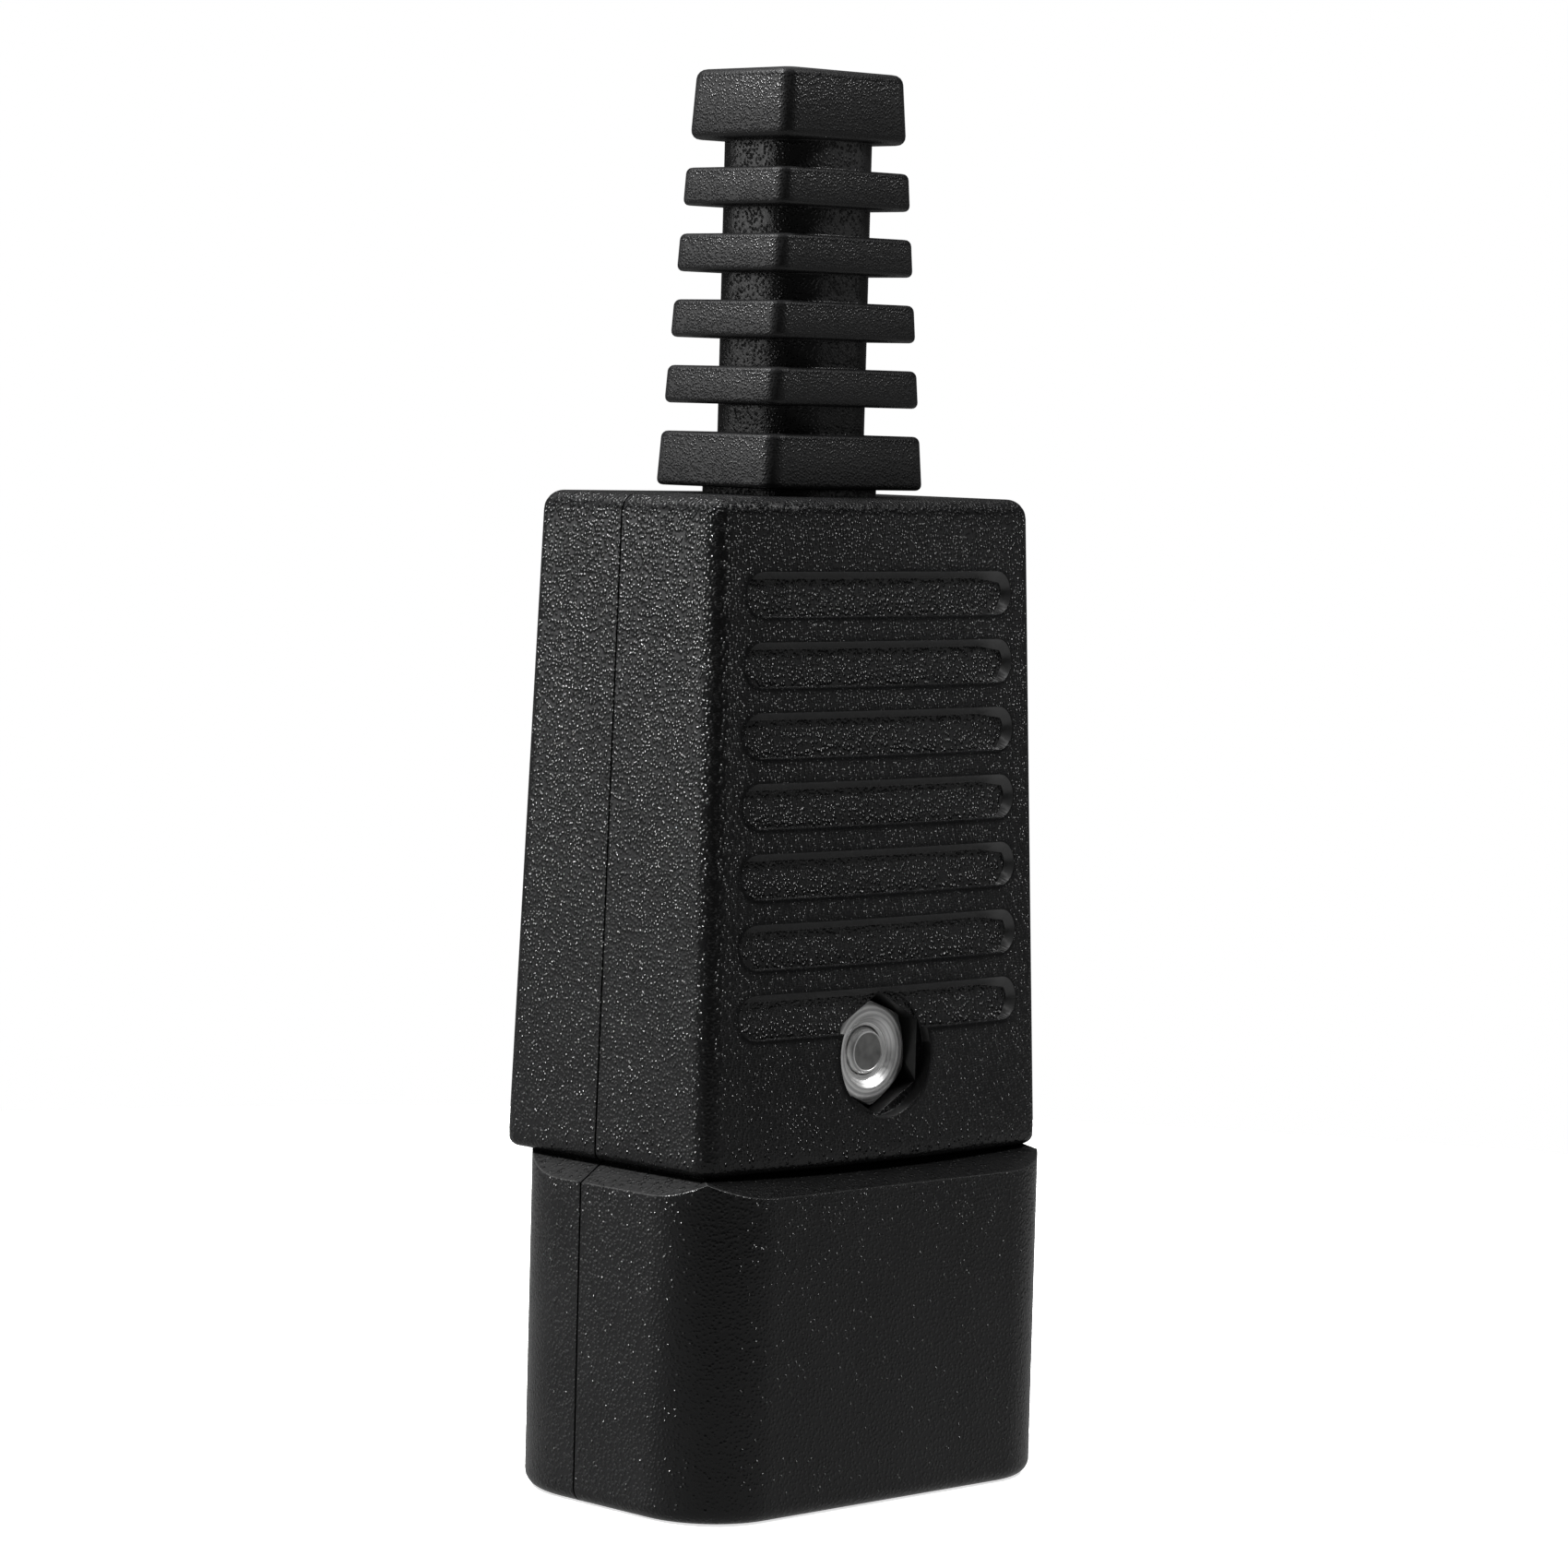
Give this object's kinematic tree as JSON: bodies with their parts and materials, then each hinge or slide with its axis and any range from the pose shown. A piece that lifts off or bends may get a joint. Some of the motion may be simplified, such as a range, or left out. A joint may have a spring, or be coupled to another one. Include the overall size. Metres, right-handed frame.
{
  "type": "cord-end power inlet",
  "caption": "Split-shell mains inlet for a cord end: flat pins in a keyed shroud, finger grips on the broad faces, a screw and nut through the shells and a square ribbed cord sleeve.",
  "frame": {"origin": "in the plane of the shroud's rim, where the parting plane of the shells meets the plane of symmetry", "axes": "+Z along the cord, away from the pins; -Y to the face with the nut; X across the broad faces"},
  "size_m": [0.029, 0.0195, 0.081],
  "materials": {
    "shell": "spark-textured black moulding",
    "sleeve": "soft black moulding with a fine texture",
    "plated_brass": "nickel plated",
    "zinc_steel": "bright zinc plated",
    "clamp": "plain black moulding"
  },
  "bodies": {
    "root": {"front_shell": "shell", "rear_shell": "shell", "cord_sleeve": "sleeve", "shell_screw": "zinc_steel", "shell_nut": "zinc_steel", "live_pin": "plated_brass", "neutral_pin": "plated_brass", "earth_pin": "plated_brass", "live_terminal_screw": "zinc_steel", "neutral_terminal_screw": "zinc_steel", "earth_terminal_screw": "zinc_steel", "cord_clamp": "clamp", "left_clamp_screw": "zinc_steel", "right_clamp_screw": "zinc_steel"}
  },
  "joints": []
}
